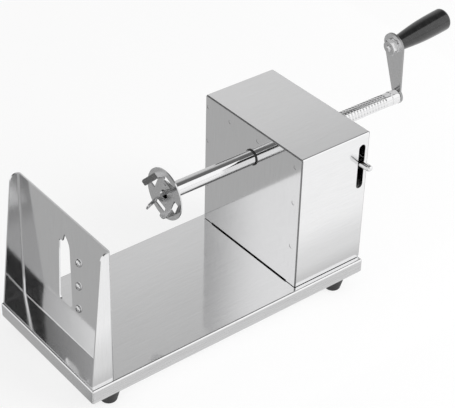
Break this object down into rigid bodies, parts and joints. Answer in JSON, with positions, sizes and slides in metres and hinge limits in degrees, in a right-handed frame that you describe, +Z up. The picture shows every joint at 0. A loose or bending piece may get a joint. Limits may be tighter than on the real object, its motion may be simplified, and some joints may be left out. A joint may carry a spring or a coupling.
{
  "type": "spiral potato cutter",
  "caption": "Hand cranked stainless steel spiral potato cutter with a pronged potato disc on a threaded feed shaft, an upright blade plate, a boxed housing with a release lever and rubber feet.",
  "frame": {"origin": "middle of the whole model's bounding box in plan, on the plane of the feet's undersides", "axes": "X along the shaft from the blade plate to the crank, Y from the release pin's side to the far side, Z up"},
  "size_m": [0.4429, 0.148, 0.2025],
  "materials": {
    "tray_steel": "bright folded stainless sheet, mirror like on top and grained on the folds",
    "sheet_steel": "bright folded stainless sheet",
    "panel_steel": "bright stainless sheet with a fine upright grain",
    "disc_steel": "stamped stainless sheet, satin",
    "arm_steel": "flat stainless bar, satin",
    "blade_steel": "ground blade steel",
    "inner_steel": "plain stainless bar and sheet",
    "shaft_chrome": "polished bright steel",
    "fastener_steel": "bright zinc or stainless fasteners",
    "spring_steel": "hard drawn spring wire",
    "nut_brass": "machined brass",
    "foot_rubber": "black moulded rubber",
    "bush_plastic": "black slippery plastic",
    "grip_plastic": "smooth glossy black plastic"
  },
  "bodies": {
    "frame": {"base_tray": "tray_steel", "rubber_feet": "foot_rubber", "foot_screws": "fastener_steel", "foot_nuts": "fastener_steel", "blade_bracket": "sheet_steel", "slicing_blade": "blade_steel", "blade_screws": "fastener_steel", "blade_nuts": "fastener_steel", "housing_cover": "sheet_steel", "housing_front_panel": "panel_steel", "housing_back_panel": "panel_steel", "housing_screws": "fastener_steel", "housing_nuts": "fastener_steel", "front_bush": "bush_plastic", "front_bush_ring": "bush_plastic", "rear_bush": "bush_plastic", "rear_bush_screws": "fastener_steel", "lever_bracket": "inner_steel", "lever_pivot_pin": "fastener_steel", "lever_pivot_clip": "spring_steel", "spring_shelf": "inner_steel", "bracket_rivets": "fastener_steel", "lever_spring": "spring_steel"},
    "lever": {"release_lever": "inner_steel", "lever_spacers": "bush_plastic", "half_nut": "nut_brass", "half_nut_screw": "fastener_steel", "release_pin": "shaft_chrome", "release_pin_rivet": "fastener_steel"},
    "carriage": {"stop_collar": "shaft_chrome"},
    "shaft": {"potato_disc": "disc_steel", "disc_hub": "disc_steel", "disc_rivets": "fastener_steel", "drive_tube": "shaft_chrome", "tube_pin": "fastener_steel", "screw_dowel": "inner_steel", "feed_screw": "shaft_chrome", "end_stud": "inner_steel", "crank_arm": "arm_steel", "grip_bolt": "fastener_steel", "grip_washer": "fastener_steel", "grip_nut": "fastener_steel"},
    "grip": {"crank_grip": "grip_plastic"}
  },
  "joints": [
    {"name": "shaft_feed", "type": "slide", "parent": "frame", "child": "carriage", "axis": [1, 0, 0], "range_m": [-0.07612, 0.05425]},
    {"name": "crank_turn", "type": "hinge", "parent": "carriage", "child": "shaft", "pos_m": [0.16423, 0.0036, 0.1313], "axis": [1, 0, 0], "range_deg": [-7830, 5580]},
    {"name": "grip_spin", "type": "hinge", "parent": "shaft", "child": "grip", "pos_m": [0.15865, 0.00668, 0.18481], "axis": [0.9925, 0.007, 0.1217], "continuous": true},
    {"name": "lever_release", "type": "hinge", "parent": "frame", "child": "lever", "pos_m": [0.06153, 0.056, 0.114], "axis": [1, 0, 0], "range_deg": [0, 9.5], "stiffness_Nm_per_rad": 1.5, "springref_deg": -14.32, "deforming": ["lever_spring"]}
  ],
  "couplings": [
    {"joint": "shaft_feed", "follows": "crank_turn", "m_per_rad": 0.00055704}
  ]
}
